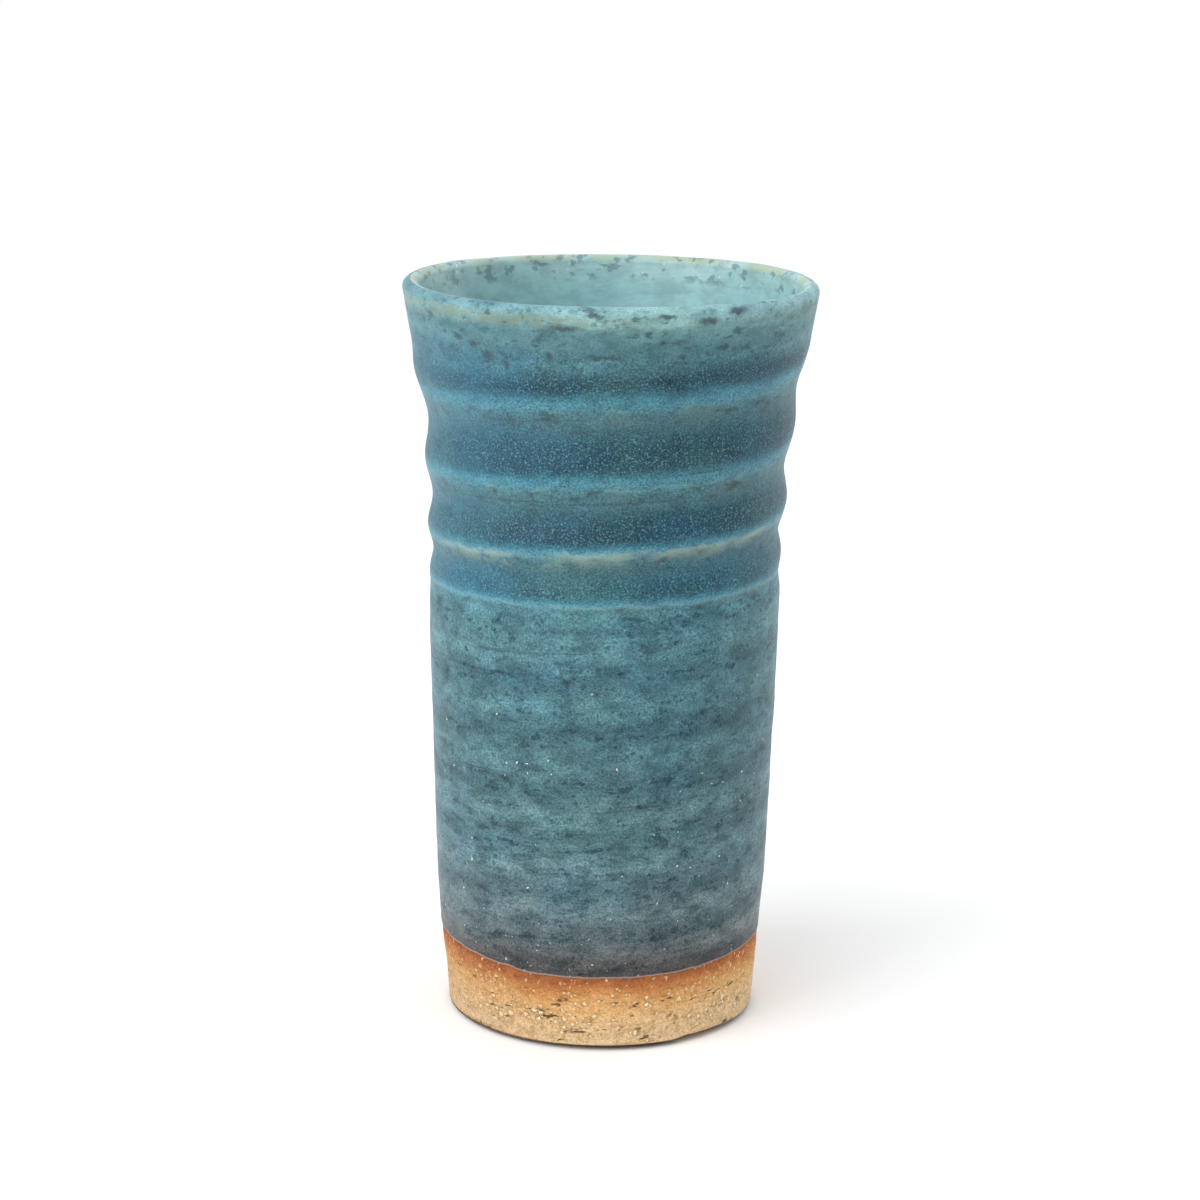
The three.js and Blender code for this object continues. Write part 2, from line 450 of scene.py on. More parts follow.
# Grains of sand and grog in the clay, bare at the foot and showing through the glaze above it.
# Radius is a share of the spacing, and Ragged is how far, in metres, a grain's edge wanders from round.
grain_inputs = ["Spacing", "Share", "Radius", "Ragged"]
sand_grains, grain_in, grain_out = new_group("sand_grains", grain_inputs, ["Grains", "Halo"])
tree = sand_grains
place = object_place(tree)
ragged_per_metre = 1900
wander = add(tree, "ShaderNodeTexNoise", Vector=place, Scale=ragged_per_metre, Detail=2).outputs["Color"]
place = calc(tree, "MULTIPLY_ADD", wander, grain_in["Ragged"], place, kind="ShaderNodeVectorMath")
per_metre = calc(tree, "DIVIDE", 1, grain_in["Spacing"])
cells = add(tree, "ShaderNodeTexVoronoi", Vector=place, Scale=per_metre)
chance = add(tree, "ShaderNodeSeparateColor", Color=cells.outputs["Color"]).outputs
kept = calc(tree, "LESS_THAN", chance["Red"], grain_in["Share"])
smallest_grain, largest_grain = 0.4, 1
grain_size = level(tree, chance["Green"], smallest_grain, largest_grain)
grain_edge = product(tree, grain_in["Radius"], grain_size)
grain_core = calc(tree, "MULTIPLY", grain_edge, 0.6)
halo_edge = calc(tree, "MULTIPLY", grain_edge, 2)
distance = cells.outputs["Distance"]
plug(tree, grain_out["Grains"], product(tree, kept, between(tree, distance, grain_edge, grain_core)))
plug(tree, grain_out["Halo"], product(tree, kept, between(tree, distance, halo_edge, grain_edge)))

# Fine lines that fingers, ribs and turning tools drew round the cup.
throwing_lines, _, line_out = new_group("throwing_lines", [], ["Fine", "Long"])
tree = throwing_lines
plug(tree, line_out["Fine"], clouds(tree, 14 * mm, flatten=32, detail=3, roughness=0.65))
plug(tree, line_out["Long"], clouds(tree, 40 * mm, flatten=45, detail=1, shift=3))

stoneware = bpy.data.materials.new("bare_stoneware")
stoneware.use_nodes = True
tree = stoneware.node_tree
shader = tree.nodes["Principled BSDF"]
lines = place_group(tree, throwing_lines)

# Flashing of the bare clay: orange-brown under the glaze, paling unevenly to sand towards the table.
uneven = level(tree, clouds(tree, 7 * mm, flatten=1.6, detail=4, roughness=0.6), -2.5, 2.5)
flash_depth = 12
flash = calc(tree, "DIVIDE", calc(tree, "ADD", attribute(tree, "below_glaze"), uneven), flash_depth)
colour = ramp(
    tree,
    flash,
    [
        (0.0, "#985833"),
        (0.08, "#a8663a"),
        (0.17, "#bc7d48"),
        (0.31, "#cd9a61"),
        (0.47, "#d9ae77"),
        (0.72, "#d9b98e"),
        (1.0, "#dabe97"),
    ],
)

# Body of the clay: cloudy and gritty, with drag lines, cream grains, coarse grog in a row low down, open
# cracks and iron specks.
cloudy = clouds(tree, 1.7 * mm, flatten=1.5, detail=4, roughness=0.85, shift=9)
gritty = clouds(tree, 0.36 * mm, flatten=1.2, roughness=0.6, shift=15)
sand_shade = (0.66, 0.58, 0.48, 1)
sand_light = (0.2, 0.22, 0.2, 1)
colour = speckle(tree, colour, cloudy, 0.35, 0.68, 0.75, sand_shade, sand_light)
colour = speckle(tree, colour, gritty, 0.28, 0.72, 1, sand_shade, sand_light)
drag = between(tree, lines["Fine"], 0.56, 0.7)
colour = tint(tree, product(tree, drag, 0.5), colour, "#9b7340")
small_grains = place_group(tree, sand_grains, Spacing=0.8 * mm, Share=0.5, Radius=0.36, Ragged=0.6 * mm)
colour = tint(tree, product(tree, small_grains["Grains"], 0.6), colour, "#f4dcae")
below_flash = between(tree, flash, 0.1, 0.35)
place = add(tree, "ShaderNodeSeparateXYZ", Vector=object_place(tree)).outputs
low_row = product(tree, within(tree, place["Z"], 2 * mm, 3.5 * mm, 5.5 * mm, 7.5 * mm), 0.8)
gritty_rows = between(tree, clouds(tree, 9 * mm, flatten=3.6, detail=1, shift=11), 0.46, 0.58)
big_grains = place_group(tree, sand_grains, Spacing=1.2 * mm, Share=0.75, Radius=0.4, Ragged=1.1 * mm)
big_share = level(tree, calc(tree, "MAXIMUM", gritty_rows, low_row), 0.2, 0.95)
big_share = product(tree, big_share, level(tree, below_flash, 0.4, 1))
# Painted shade: a darker rim round each big grain, as the shadow in the gap round it.
painted_grain_shade = product(tree, big_grains["Halo"], big_share, below_flash, 0.7)
colour = tint(tree, painted_grain_shade, colour, "#a27f4c")
colour = tint(tree, product(tree, big_grains["Grains"], big_share), colour, "#f8e6bd")
grog_patches = between(tree, clouds(tree, 4.5 * mm, flatten=2, detail=1, shift=21), 0.46, 0.56)
grog_clusters = product(tree, low_row, grog_patches)
grog = place_group(tree, sand_grains, Spacing=1.5 * mm, Share=0.6, Radius=0.42, Ragged=1.4 * mm)
colour = tint(tree, product(tree, grog["Halo"], grog_clusters, 0.9), colour, "#8f6b3c")
grog_pits = between(tree, clouds(tree, 1.3 * mm, flatten=2.2, roughness=0.6, shift=23), 0.58, 0.66)
colour = tint(tree, product(tree, grog_pits, grog_clusters), colour, "#5a4426")
colour = tint(tree, product(tree, grog["Grains"], grog_clusters, 1.2), colour, "#fdf0cf")
crack_shape = clouds(tree, 2.4 * mm, flatten=3.4, detail=3, roughness=0.6, shift=7)
cracked_rows = product(tree, between(tree, gritty_rows, 0.3, 0.7), below_flash)
cracks = product(tree, between(tree, crack_shape, 0.57, 0.63), cracked_rows)
colour = tint(tree, product(tree, cracks, 0.9), colour, "#46351f")
iron_specks = place_group(tree, sand_grains, Spacing=1.3 * mm, Share=0.4, Radius=0.17, Ragged=0.6 * mm)
colour = tint(tree, product(tree, iron_specks["Grains"], 0.85), colour, "#5a4022")

# Painted shade: the foot's left side is darkened, and the hollow under the edge of the foot is painted dark.
painted_left_shade = between(tree, place["X"], 6 * mm, -18 * mm)
colour = tint(tree, painted_left_shade, colour, (0.8, 0.77, 0.76, 1), "MULTIPLY")
# Painted shade: the clay just under the rounded edge of the foot is made darker, as the shade of the gap
# over the table.
back_squared = product(tree, place["Y"], place["Y"])
from_axis = calc(tree, "SQRT", calc(tree, "MULTIPLY_ADD", place["X"], place["X"], back_squared))
past_ring = between(tree, from_axis, foot_ring_outer - 1.5 * mm, foot_ring_outer)
painted_undercut_shade = product(tree, past_ring, between(tree, place["Z"], foot_edge_height, foot_gap_height))
colour = tint(tree, painted_undercut_shade, colour, (0.25, 0.2, 0.16, 1), "MULTIPLY")
plug(tree, shader.inputs["Base Color"], colour)
shader.inputs["Roughness"].default_value = 0.88
shader.inputs["Specular IOR Level"].default_value = 0.3
relief = calc(tree, "MULTIPLY_ADD", big_grains["Grains"], 0.5, lines["Fine"])
relief = calc(tree, "MULTIPLY_ADD", small_grains["Grains"], 0.3, relief)
relief = calc(tree, "MULTIPLY_ADD", cracks, -1.5, relief)
relief = calc(tree, "MULTIPLY_ADD", cloudy, 1.2, relief)
bump = add(tree, "ShaderNodeBump", Height=relief, Strength=0.6, Distance=0.16 * mm)
plug(tree, shader.inputs["Normal"], bump.outputs["Normal"])
finish_piece(clay, "clay_body_thrown", "clay_body", stoneware)


# Glaze lining: glaze poured in and out again, fused over the floor, the inside wall and the lip's
# inner half. Pale turquoise, thin and beige along the edge of the lip, with dark iron spots there.
# The back of each glaze lies sunk into the clay, so that no gap shows between them.
sunk = -0.1 * mm
lining_profile = lip_arc(glaze_thickness, 90, 180, 8)
lining_profile += inside_wall(glaze_thickness, 130)
lining_profile += arc(corner_centre, corner_height, floor_corner_radius - glaze_thickness, 0, -90, 16)
lining_floor = floor_height + glaze_thickness
lining_profile += straight((corner_centre, lining_floor), (0, lining_floor), 18)
lining_back = lip_arc(sunk, 90, 180, 5) + inside_wall(sunk, 20)
lining_back += arc(corner_centre, corner_height, floor_corner_radius - sunk, 0, -90, 6)
lining_back += straight((corner_centre, floor_height + sunk), (0, floor_height + sunk), 3)
lip_crest = [(lip_centre_radius, clay_top.z + offset) for offset in (sunk, glaze_thickness)]
lining = turn(lining_back[::-1] + lip_crest + lining_profile, closed=False)
for corner in lining.verts:
    corner.co = hand_thrown(corner.co)

# The mottle of the fired glaze: where it lies dark and where it lies light.
glaze_mottle, _, mottle_out = new_group("glaze_mottle", [], ["Dark", "Light"])
tree = glaze_mottle
mottled = clouds(tree, 4.4 * mm, flatten=1.8, detail=3, roughness=0.62)
plug(tree, mottle_out["Dark"], between(tree, mottled, 0.5, 0.36, "LINEAR"))
plug(tree, mottle_out["Light"], between(tree, mottled, 0.5, 0.64, "LINEAR"))

# What the mottle multiplies a glaze colour by where it lies darkest, and divides it into where lightest.
slate_shade = (0.38, 0.47, 0.5, 1)
pale_shade = (0.43, 0.375, 0.35, 1)

lining_glaze = bpy.data.materials.new("lining_glaze")
lining_glaze.use_nodes = True
tree = lining_glaze.node_tree
shader = tree.nodes["Principled BSDF"]
mottle = place_group(tree, glaze_mottle)
lines = place_group(tree, throwing_lines)
height = add(tree, "ShaderNodeSeparateXYZ", Vector=object_place(tree)).outputs["Z"]
share_of_height = calc(tree, "DIVIDE", height, coat_top.z)
colour = ramp(
    tree,
    share_of_height,
    [(0.05, "#5a98a3"), (0.3, "#6ba3ab"), (0.88, "#6fa4ab"), (0.95, "#84b1b4"), (1.0, "#97b9b8")],
)
colour = tint(tree, product(tree, mottle["Dark"], 0.35), colour, slate_shade, "MULTIPLY")
colour = tint(tree, product(tree, mottle["Light"], 0.3), colour, pale_shade, "DODGE")

# Along the lip: beige where the glaze ran thin, slate-blue smudges, and a few painted white glints.
near_lip = between(tree, height, 115 * mm, 117 * mm)
thin = between(tree, height, 118.6 * mm, 119.6 * mm)
thin_patches = between(tree, clouds(tree, 6 * mm, detail=3, roughness=0.6, shift=13), 0.42, 0.58)
colour = tint(tree, product(tree, thin, thin_patches, 0.6), colour, "#a0ab86")
smudge_shape = clouds(tree, 2.6 * mm, flatten=1.5, detail=3, roughness=0.55, shift=8)
dark_spots = place_group(tree, sand_grains, Spacing=2.2 * mm, Share=0.6, Radius=0.32, Ragged=1.1 * mm)
smudges = between(tree, smudge_shape, 0.55, 0.64)
smudges = calc(tree, "MAXIMUM", smudges, product(tree, dark_spots["Grains"], 0.8))
colour = tint(tree, product(tree, near_lip, smudges, 0.7), colour, "#4f6f79")
# Painted highlight: small white glints along the lip.
white_grains_and_glints = place_group(tree, sand_grains, Spacing=1.8 * mm, Share=0.4, Radius=0.17, Ragged=0.6 * mm)
colour = tint(tree, product(tree, white_grains_and_glints["Grains"], near_lip, 0.8), colour, "#d9e4df")
plug(tree, shader.inputs["Base Color"], colour)
shader.inputs["Roughness"].default_value = 0.42
relief = calc(tree, "MULTIPLY_ADD", mottle["Light"], 0.5, lines["Fine"])
bump = add(tree, "ShaderNodeBump", Height=relief, Strength=0.3, Distance=0.08 * mm)
plug(tree, shader.inputs["Normal"], bump.outputs["Normal"])
finish_piece(lining, "glaze_lining_poured", "glaze_lining", lining_glaze)


# Glaze coat: the matte blue-green glaze that the cup was dipped in, fused from the crest of the lip
# down to a wavy line above the bare foot. It lies thick and dark above each turn of the ridge, and
# breaks to a pale line just under it.
toe_thickness = 0.18 * mm
toe_top = glaze_line + toe_thickness


def coat_thickness(height):
    """Thickness of the glaze at a height: it ran thin towards its lower edge."""
    full_height = glaze_line + 12 * mm
    return toe_thickness + (glaze_thickness - toe_thickness) * ease(height, glaze_line, full_height)


toe_radius = wall_radius(glaze_line)
coat_profile = [(toe_radius + sunk, glaze_line)]
coat_profile += arc(toe_radius, toe_top, toe_thickness, -90, 0, 4)
face_heights = steps_between(toe_top, lip_centre_height, 180)
coat_profile += [(wall_radius(z) + coat_thickness(z), z) for z in face_heights]
coat_profile += lip_arc(glaze_thickness, 0, 90, 8)
coat_profile += lip_arc(sunk, 0, 90, 4)[::-1]
back_heights = steps_between(lip_centre_height, glaze_line, 22)[:-1]
coat_profile += [(wall_radius(z) + sunk, z) for z in back_heights]
coat = turn(coat_profile, closed=True)

# Each point knows how far it lies above a pale line, in turns as a cosine and a sine, and how strongly
# the lines show there; where it lies on the faint low bands; and how far it is above the glaze's edge.
ring = coat.verts.layers.float_vector.new("ring")
band = coat.verts.layers.float.new("low_band")
above_edge = coat.verts.layers.float.new("above_edge")

# How far the pale lines lie under the crest of the ridge, in turns: further on the right of the cup and
# near the lip, less far on the second turn. The first and the last line tilt up to the right.
line_drop = 0.15
drop_to_right = 0.07
drop_near_lip = 0.12
second_turn_rise = 0.03
first_line_tilt, last_line_tilt = 0.6 * mm, 1.6 * mm
for corner in coat.verts:
    angle = math.atan2(corner.co.x, -corner.co.y)
    height = corner.co.z
    on_second = ease(height, 75 * mm, 79 * mm) * (1 - ease(height, 86 * mm, 89 * mm))
    to_right = math.sin(angle)
    drop = line_drop + drop_to_right * to_right * (1 - on_second) - second_turn_rise * on_second
    drop += drop_near_lip * ease(height, 98 * mm, 106 * mm)
    phase = math.tau * (ridge_turns(height, angle) + drop)
    above_first = ease(height - first_line_tilt * to_right, 71.4 * mm, 73 * mm)
    above_last = ease(height - last_line_tilt * to_right, 108 * mm, 111.5 * mm)
    strength = above_first * (1 - above_last)
    corner[ring] = Vector((math.cos(phase), math.sin(phase), strength))
    corner[band] = low_band(height, angle)
    corner[above_edge] = (height - glaze_line) / mm
    raised = height + glaze_line_shift(angle) * (1 - ease(height, glaze_line, glaze_line + 14 * mm))
    widened = 1 + (wall_radius(raised) - wall_radius(height)) / math.hypot(corner.co.x, corner.co.y)
    corner.co = hand_thrown(Vector((corner.co.x * widened, corner.co.y * widened, raised)))

coat_glaze = bpy.data.materials.new("coat_glaze")
coat_glaze.use_nodes = True
tree = coat_glaze.node_tree
shader = tree.nodes["Principled BSDF"]
mottle = place_group(tree, glaze_mottle)
lines = place_group(tree, throwing_lines)
place = add(tree, "ShaderNodeSeparateXYZ", Vector=object_place(tree)).outputs
height = place["Z"]
patches = clouds(tree, 13 * mm, flatten=2.4, detail=3, roughness=0.55, shift=1)
blotchy = clouds(tree, 2.4 * mm, flatten=1.8, detail=3, roughness=0.58, shift=2)
broad_wander = level(tree, patches, -2.5 * mm, 2.5 * mm)
wander = calc(tree, "ADD", broad_wander, level(tree, blotchy, -2 * mm, 2 * mm))
wander_share = level(tree, between(tree, height, 16 * mm, 30 * mm), 0.35, 1)
looked_up = calc(tree, "MULTIPLY_ADD", wander, wander_share, height)
share_of_height = calc(tree, "DIVIDE", looked_up, coat_top.z)
wall_colours = [
    (13, "#3f3a3a"),
    (15, "#484545"),
    (18, "#5f6769"),
    (21, "#4f6064"),
    (25, "#576c70"),
    (32, "#506e74"),
    (40, "#4b6a70"),
    (48, "#44666d"),
    (58, "#446970"),
    (66, "#466c74"),
    (72, "#507e88"),
    (108, "#325e6b"),
    (110, "#3f6974"),
    (112, "#4d767f"),
    (114, "#557d80"),
    (116.4, "#587f83"),
    (118.2, "#84adad"),
    (120, "#8cb6ba"),
]
colour = ramp(tree, share_of_height, [(z * mm / coat_top.z, shade) for z, shade in wall_colours])
low_bands = attribute(tree, "low_band")
groove = between(tree, low_bands, 0, -1, "LINEAR")
colour = tint(tree, groove, colour, (0.7, 0.77, 0.8, 1), "MULTIPLY")
swell = between(tree, low_bands, 0, 1, "LINEAR")
colour = tint(tree, swell, colour, (0.16, 0.15, 0.14, 1), "DODGE")

# Going up from a pale line: dark and thick, then thinner and greener, then the next pale line.
ring_parts = add(tree, "ShaderNodeSeparateXYZ", Vector=attribute(tree, "ring", "Vector")).outputs
lined = ring_parts["Z"]
turns_up = calc(tree, "DIVIDE", calc(tree, "ARCTAN2", ring_parts["Y"], ring_parts["X"]), math.tau)
wavering = level(tree, clouds(tree, 4 * mm, detail=3, roughness=0.6, shift=4), -0.08, 0.08)
above_line = calc(tree, "FRACT", calc(tree, "ADD", turns_up, wavering))
ring_colour = ramp(
    tree,
    above_line,
    [
        (0.0, "#478090"),
        (0.04, "#407889"),
        (0.09, "#336978"),
        (0.15, "#265665"),
        (0.23, "#1f4b59"),
        (0.35, "#1e4a58"),
        (0.48, "#28535f"),
        (0.6, "#345a65"),
        (0.7, "#3c616b"),
        (0.8, "#3f656d"),
        (0.88, "#427079"),
        (0.95, "#467b89"),
        (1.0, "#478090"),
    ],
)
thick = within(tree, above_line, 0.05, 0.18, 0.4, 0.68)
thick_shade = (0.52, 0.6, 0.64, 1)
upper_rings = between(tree, height, 79 * mm, 84 * mm)
ring_colour = tint(tree, product(tree, thick, upper_rings), ring_colour, thick_shade, "MULTIPLY")
colour = tint(tree, lined, colour, ring_colour)

# Mottle over the bands, calmer where the glaze is thick: patches of a bluer or a greener hue, dark and
# light tones, slate blotches and specks, fine grain, and thin dark lines from the wheel.
drift = clouds(tree, 16 * mm, flatten=1.6, shift=12)
hue_share = product(tree, between(tree, height, 16 * mm, 26 * mm), 0.13)
colour = tint(tree, product(tree, between(tree, drift, 0.5, 0.36), hue_share), colour, "#336f8c")
colour = tint(tree, product(tree, between(tree, drift, 0.5, 0.64), hue_share), colour, "#4f8076")
under_lip = between(tree, height, 104 * mm, 108 * mm)
calm = calc(tree, "MAXIMUM", lined, product(tree, under_lip, 0.5))
busy = level(tree, calm, 1, 0.4)
tone_share = product(tree, busy, 0.7)
colour = tint(tree, product(tree, mottle["Dark"], tone_share), colour, slate_shade, "MULTIPLY")
colour = tint(tree, product(tree, mottle["Light"], tone_share), colour, pale_shade, "DODGE")
blotch_share = level(tree, groove, 0.68, 1.08)
blotches = product(tree, between(tree, blotchy, 0.56, 0.64), blotch_share, busy)
colour = tint(tree, blotches, colour, slate_shade, "MULTIPLY")
clusters = between(tree, clouds(tree, 5.5 * mm, flatten=2.6, shift=17), 0.47, 0.57)
dark_specks = place_group(tree, sand_grains, Spacing=1.1 * mm, Share=0.7, Radius=0.5, Ragged=1 * mm)
colour = tint(tree, product(tree, dark_specks["Grains"], clusters, busy), colour, slate_shade, "MULTIPLY")
near_lip = between(tree, height, 111 * mm, 114 * mm)
grain = clouds(tree, 0.33 * mm, flatten=1.1, detail=1, shift=6)
grain_share = level(tree, near_lip, 0.95, 0.4)
colour = speckle(tree, colour, grain, 0.28, 0.72, grain_share, slate_shade, pale_shade)
long_lines = between(tree, lines["Long"], 0.68, 0.72)
colour = tint(tree, product(tree, long_lines, 0.5), colour, slate_shade, "MULTIPLY")
low_wall = between(tree, height, 62 * mm, 36 * mm)
drag = between(tree, lines["Fine"], 0.54, 0.66)
drag_share = level(tree, low_wall, 0.1, 0.35)
colour = tint(tree, product(tree, drag, drag_share), colour, slate_shade, "MULTIPLY")
smear_shape = clouds(tree, 9 * mm, flatten=7, detail=3, roughness=0.6, shift=19)
smears = product(tree, between(tree, smear_shape, 0.54, 0.63), low_wall, 0.5)
colour = tint(tree, smears, colour, slate_shade, "MULTIPLY")

# Under each pale line the glaze is thin: olive, with slate spots and a broken crest. The left of the cup is
# painted bluer and lighter, with less olive, as painted light. Along the second turn the line is cream and
# brighter, and the first turn has a faint bright line.
under_line = product(tree, within(tree, above_line, 0.6, 0.84, 0.86, 0.98), lined)
lit_left_end = between(tree, place["X"], -10 * mm, -25 * mm)
olive_share = level(tree, lit_left_end, 0.32, 0.1)
olive = product(tree, under_line, between(tree, patches, 0.4, 0.6), olive_share)
colour = tint(tree, olive, colour, "#5a7872")
spot_shape = clouds(tree, 2.8 * mm, flatten=1.6, detail=3, shift=5)
spots = product(tree, between(tree, spot_shape, 0.53, 0.66), under_line, 0.85)
colour = tint(tree, spots, colour, "#33424a")
crest = product(tree, within(tree, above_line, 0.88, 0.92, 0.93, 0.97), lined)
broken = between(tree, blotchy, 0.48, 0.6)
colour = tint(tree, product(tree, crest, broken, 0.25), colour, "#8fb0ad")
ringed_wall = within(tree, height, 71 * mm, 73 * mm, 113.5 * mm, 115.5 * mm)
# Painted light: the left end of the ringed wall is tinted bluer and lighter.
colour = tint(tree, product(tree, lit_left_end, ringed_wall, 0.18), colour, "#4684a0")
second_turn = product(tree, within(tree, height, 77 * mm, 79 * mm, 84 * mm, 86 * mm), lined)
cream = within(tree, above_line, 0.66, 0.94, 0.96, 1)
cream_patches = product(tree, between(tree, blotchy, 0.66, 0.46), between(tree, patches, 0.36, 0.56))
colour = tint(tree, product(tree, cream, cream_patches, second_turn, 0.36), colour, "#959e86")
bright_reach = 0.16
near_line = calc(tree, "FRACT", calc(tree, "ADD", above_line, bright_reach))
bright_line = within(tree, near_line, 0, 0.12, 0.12, 0.21)
bright_patches = product(tree, between(tree, blotchy, 0.64, 0.48), between(tree, patches, 0.4, 0.56))
bright_share = level(tree, bright_patches, 0.07, 0.27)
colour = tint(tree, product(tree, bright_line, bright_share, second_turn), colour, "#a0b7ad")
first_turn = product(tree, between(tree, height, 77 * mm, 75.5 * mm), lined)
colour = tint(tree, product(tree, bright_line, first_turn, 0.12), colour, "#9cc0c4")

# The lip: darker along its left and its right edge and paler below the right one, with a beige band where
# the glaze ran off, and slate spots drawn out sideways.
left_of_lip = between(tree, place["X"], 10 * mm, -20 * mm)
lip_edge = between(tree, height, 113.5 * mm, 115.5 * mm)
colour = tint(tree, product(tree, left_of_lip, lip_edge), colour, (0.66, 0.74, 0.79, 1), "MULTIPLY")
right_of_lip = between(tree, place["X"], 4 * mm, 18 * mm)
below_edge = product(tree, near_lip, between(tree, height, 117.5 * mm, 116.3 * mm))
colour = tint(tree, product(tree, right_of_lip, below_edge), colour, (0.16, 0.13, 0.1, 1), "DODGE")
far_right = between(tree, place["X"], 12 * mm, 24 * mm)
right_edge = product(tree, far_right, between(tree, height, 116.3 * mm, 117.5 * mm))
colour = tint(tree, right_edge, colour, (0.76, 0.79, 0.83, 1), "MULTIPLY")
beige_band = within(tree, height, 115.8 * mm, 117.4 * mm, 118.2 * mm, 119.2 * mm)
beige_share = level(tree, between(tree, place["X"], 10 * mm, -10 * mm), 0.2, 0.6)
beige = product(tree, beige_band, between(tree, blotchy, 0.72, 0.38), beige_share)
colour = tint(tree, beige, colour, "#7f8d76")
lip_spot_shape = clouds(tree, 2.6 * mm, flatten=1.8, detail=3, roughness=0.55, shift=8)
spotted = between(tree, height, 107 * mm, 111 * mm)
lip_spots = product(tree, between(tree, lip_spot_shape, 0.57, 0.67), spotted, 0.7)
colour = tint(tree, lip_spots, colour, "#2f4a55")

# Single iron marks on the front of the lip: place across, height, half width and half height, in mm.
iron_marks = [
    (-1.1, 112.4, 3.2, 0.5),
    (-7.0, 116.7, 2.6, 0.6),
    (-2.5, 118.8, 1.6, 0.5),
    (8.4, 118.7, 1.3, 0.4),
    (14.8, 117.8, 1.8, 0.7),
    (19.0, 119.0, 1.6, 0.6),
    (-23.4, 114.0, 0.7, 0.6),
    (-20.6, 113.2, 0.8, 0.8),
    (-18.4, 111.6, 0.9, 1.1),
    (-15.6, 110.4, 0.6, 0.8),
    (-10.8, 110.4, 0.7, 0.6),
    (-9.0, 112.4, 0.6, 0.6),
    (5.6, 116.0, 0.6, 0.6),
    (10.8, 112.4, 0.6, 0.5),
    (16.9, 113.4, 0.8, 0.4),
]
wobbles_per_metre = 900
wobble = add(
    tree, "ShaderNodeTexNoise", Vector=object_place(tree), Scale=wobbles_per_metre, Detail=3
).outputs["Color"]
wobble = calc(tree, "SUBTRACT", wobble, (0.5, 0.5, 0.5), kind="ShaderNodeVectorMath")
wobble_size = (2 * mm, 0, 1.2 * mm)
marks_place = calc(
    tree, "MULTIPLY_ADD", wobble, wobble_size, object_place(tree), kind="ShaderNodeVectorMath"
)
front = between(tree, place["Y"], 0, -5 * mm)
for across, above, half_width, half_height in iron_marks:
    squeeze = Vector((1 / half_width, 0, 1 / half_height)) / mm
    centre = Vector((-across / half_width, 0, -above / half_height))
    spread = calc(tree, "MULTIPLY_ADD", marks_place, squeeze, centre, kind="ShaderNodeVectorMath")
    reach = add(tree, "ShaderNodeVectorMath", {"operation": "LENGTH"}, Vector=spread).outputs["Value"]
    mark = product(tree, between(tree, reach, 1.3, 0.3), front, 0.85)
    colour = tint(tree, mark, colour, "#33454c")

# Crystals that grew where the glaze lies thick, and white sand grains that show through it.
crystals = between(tree, clouds(tree, 0.3 * mm, roughness=0.6, shift=16), 0.5, 0.68)
crystal_share = level(tree, product(tree, thick, lined), 0.14, 0.48)
colour = tint(tree, product(tree, crystals, crystal_share), colour, "#6ea3b2")
white_grains_and_glints = place_group(tree, sand_grains, Spacing=1.7 * mm, Share=0.42, Radius=0.15, Ragged=0.9 * mm)
sandy = product(tree, between(tree, height, 72 * mm, 50 * mm), between(tree, drift, 0.36, 0.5))
colour = tint(tree, product(tree, white_grains_and_glints["Halo"], sandy, 0.35), colour, slate_shade, "MULTIPLY")
white_share = level(tree, sandy, 0.08, 0.93)
colour = tint(tree, product(tree, white_grains_and_glints["Grains"], white_share), colour, "#d6e0de")

# Low down the glaze is thin, with fine sand showing through; both sides of the cup are painted paler there,
# as a painted sheen.
low_edge = between(tree, height, 26 * mm, 18 * mm)
painted_sheen_sides = between(tree, calc(tree, "ABSOLUTE", place["X"]), 13 * mm, 25 * mm)
colour = tint(tree, product(tree, low_edge, painted_sheen_sides), colour, (0.17, 0.19, 0.19, 1), "DODGE")
fine_sand = place_group(tree, sand_grains, Spacing=1 * mm, Share=0.3, Radius=0.22, Ragged=0.6 * mm)
colour = tint(tree, product(tree, fine_sand["Grains"], low_edge, 0.5), colour, "#bcc6c6")

# The very edge over the foot, where the glaze is too thin to colour: a pinkish cream line.
edge_share = product(tree, between(tree, attribute(tree, "above_edge"), 0.4, 0.2), 0.8)
colour = tint(tree, edge_share, colour, "#a08a7c")
plug(tree, shader.inputs["Base Color"], colour)
plug(tree, shader.inputs["Roughness"], level(tree, blotchy, 0.38, 0.63))
shader.inputs["Specular IOR Level"].default_value = 0.25
shader.inputs["Sheen Weight"].default_value = 0.19
shader.inputs["Sheen Roughness"].default_value = 0.35
shader.inputs["Sheen Tint"].default_value = linear("#b4d4e4")
relief = calc(tree, "MULTIPLY_ADD", mottle["Light"], 0.5, lines["Fine"])
relief = calc(tree, "MULTIPLY_ADD", white_grains_and_glints["Grains"], 0.8, relief)
relief = calc(tree, "MULTIPLY_ADD", blotchy, -0.5, relief)
bump = add(tree, "ShaderNodeBump", Height=relief, Strength=0.5, Distance=0.12 * mm)
plug(tree, shader.inputs["Normal"], bump.outputs["Normal"])
finish_piece(coat, "glaze_coat_dipped", "glaze_coat", coat_glaze)


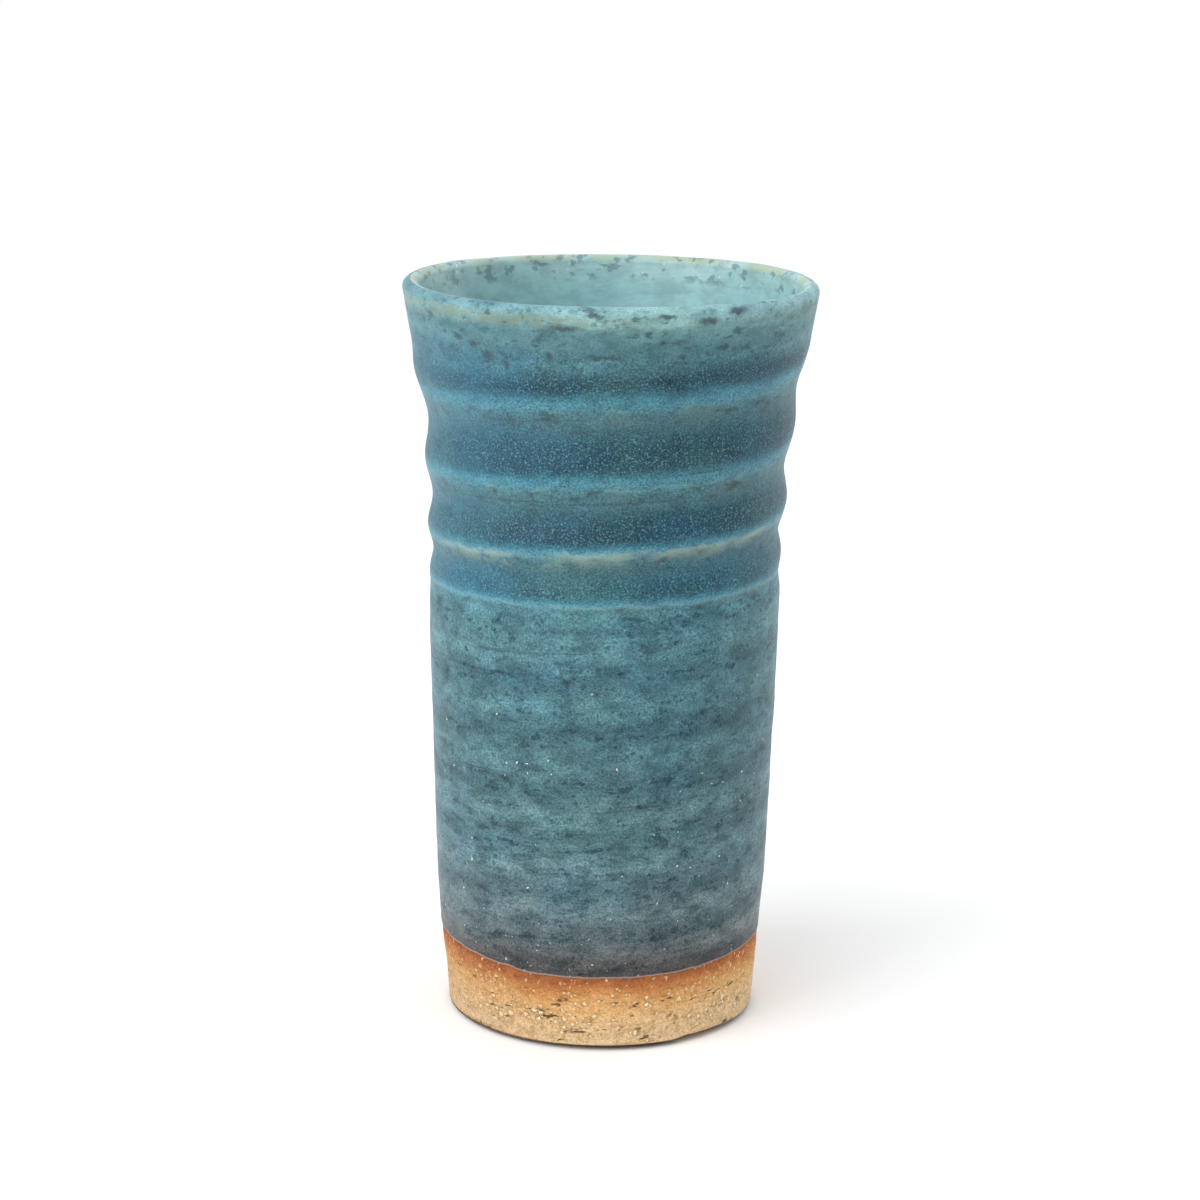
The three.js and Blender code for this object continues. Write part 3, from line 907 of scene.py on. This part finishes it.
# White table and the studio round it: the table keeps the cup's shadow and ends in the white of the
# wall behind it, the ceiling is the brightest, and soft lights stand on both sides and in front.
table_size = 1.5
gap_under_foot = 0.02 * mm
table_shape = bmesh.new()
bmesh.ops.create_grid(table_shape, x_segments=1, y_segments=1, size=table_size / 2)
bmesh.ops.translate(table_shape, verts=table_shape.verts[:], vec=(0, 0, -gap_under_foot))
table_mesh = bpy.data.meshes.new("white_table")
table_shape.to_mesh(table_mesh)
table_shape.free()
table = bpy.data.objects.new("white_table", table_mesh)
bpy.context.scene.collection.objects.link(table)

table_white = bpy.data.materials.new("table_white")
table_white.use_nodes = True
tree = table_white.node_tree
tree.nodes.remove(tree.nodes["Principled BSDF"])
paper = add(tree, "ShaderNodeBsdfDiffuse", Color=(0.9, 0.9, 0.9, 1))
plug(tree, tree.nodes["Material Output"].inputs["Surface"], paper.outputs[0])
table_mesh.materials.append(table_white)

studio = bpy.data.worlds.new("white_studio")
bpy.context.scene.world = studio
studio.use_nodes = True
tree = studio.node_tree
surround = tree.nodes["Background"]
surround.inputs["Color"].default_value = (1, 1, 1, 1)

# Whoever looks at the room sees plain white. The cup is lit by grey walls and a bright ceiling.
light_path = add(tree, "ShaderNodeLightPath").outputs
seen = calc(tree, "MAXIMUM", light_path["Is Camera Ray"], light_path["Is Glossy Ray"])
seen = calc(tree, "MAXIMUM", seen, light_path["Is Transmission Ray"])
direction = add(tree, "ShaderNodeTexCoord").outputs["Generated"]
up = add(tree, "ShaderNodeSeparateXYZ", Vector=direction).outputs["Z"]
wall_level, ceiling_level = 0.3, 1.6
room = level(tree, product(tree, up, up), wall_level, ceiling_level)
strength = add(tree, "ShaderNodeMix", Factor=seen, A=room, B=1.0).outputs["Result"]
plug(tree, surround.inputs["Strength"], strength)


def soft_light(name, place, size, watts):
    """A square soft light aimed at the middle of the cup."""
    lamp = bpy.data.lights.new(name, "AREA")
    lamp.size = size
    lamp.energy = watts
    light = bpy.data.objects.new(name, lamp)
    light.location = place
    aim = Vector((0, 0, coat_top.z / 2)) - light.location
    light.rotation_euler = aim.to_track_quat("-Z", "Y").to_euler()
    bpy.context.scene.collection.objects.link(light)


soft_light("left_soft_light", place=(-0.85, -0.53, 0.7), size=0.9, watts=8.8)
soft_light("front_soft_light", place=(-0.45, -0.95, 0.7), size=0.5, watts=2.8)
soft_light("right_soft_light", place=(0.85, 0.5, 0.45), size=0.6, watts=2.6)


# Camera of the photograph: about half a metre in front, a little above the lip, looking down.
camera_place = Vector((-1.06, -500.4, 186.7)) * mm
look_down = math.radians(13.37)
camera_roll = math.radians(0.79)
focal_pixels = 3177
photo_pixels = 1200
camera_data = bpy.data.cameras.new("photo_camera")
camera_data.sensor_width = 36
camera_data.lens = camera_data.sensor_width * focal_pixels / photo_pixels
camera_data.clip_start = 10 * mm
camera = bpy.data.objects.new("photo_camera", camera_data)
camera.location = camera_place
camera.rotation_euler = (math.pi / 2 - look_down, 0, 0)
camera.rotation_euler.rotate_axis("Z", camera_roll)
bpy.context.scene.collection.objects.link(camera)
bpy.context.scene.camera = camera
bpy.context.scene.view_settings.view_transform = "Standard"
